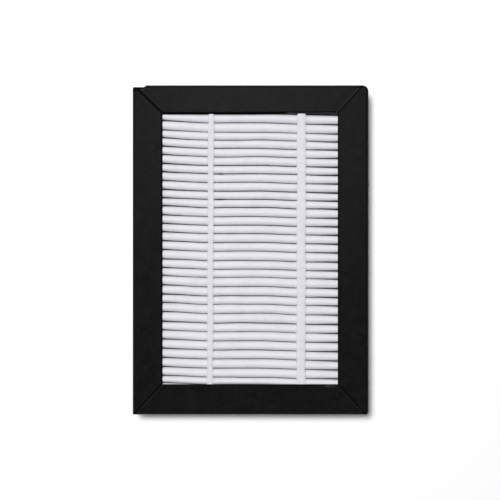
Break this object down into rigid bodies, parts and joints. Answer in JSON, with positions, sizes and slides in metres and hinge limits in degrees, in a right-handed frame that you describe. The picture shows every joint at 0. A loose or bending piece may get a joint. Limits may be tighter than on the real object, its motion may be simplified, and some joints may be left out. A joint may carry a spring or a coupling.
{
  "type": "hepa filter panel",
  "caption": "Flat air filter panel: a white pleated paper pack with glue line spacers in a folded black card frame with mitred corners.",
  "frame": {"origin": "middle of the panel's outline on the plane of its back face, on which it lies", "axes": "+X across the panel along the pleats, +Y along the long side from pleat to pleat, +Z out of the face side"},
  "size_m": [0.13, 0.1816, 0.025],
  "materials": {
    "black_card": "matte, through-dyed black liner over a grey core that shows at cut edges",
    "filter_paper": "white fibrous filter paper, matte",
    "hot_melt": "white hot melt glue, satin"
  },
  "bodies": {
    "root": {"frame_strip": "black_card", "tab_adhesive": "hot_melt", "pleated_media": "filter_paper", "front_bead_left": "hot_melt", "front_bead_right": "hot_melt", "rear_bead_left": "hot_melt", "rear_bead_right": "hot_melt", "edge_seal_left": "hot_melt", "edge_seal_right": "hot_melt", "edge_seal_top": "hot_melt", "edge_seal_bottom": "hot_melt"}
  },
  "joints": []
}
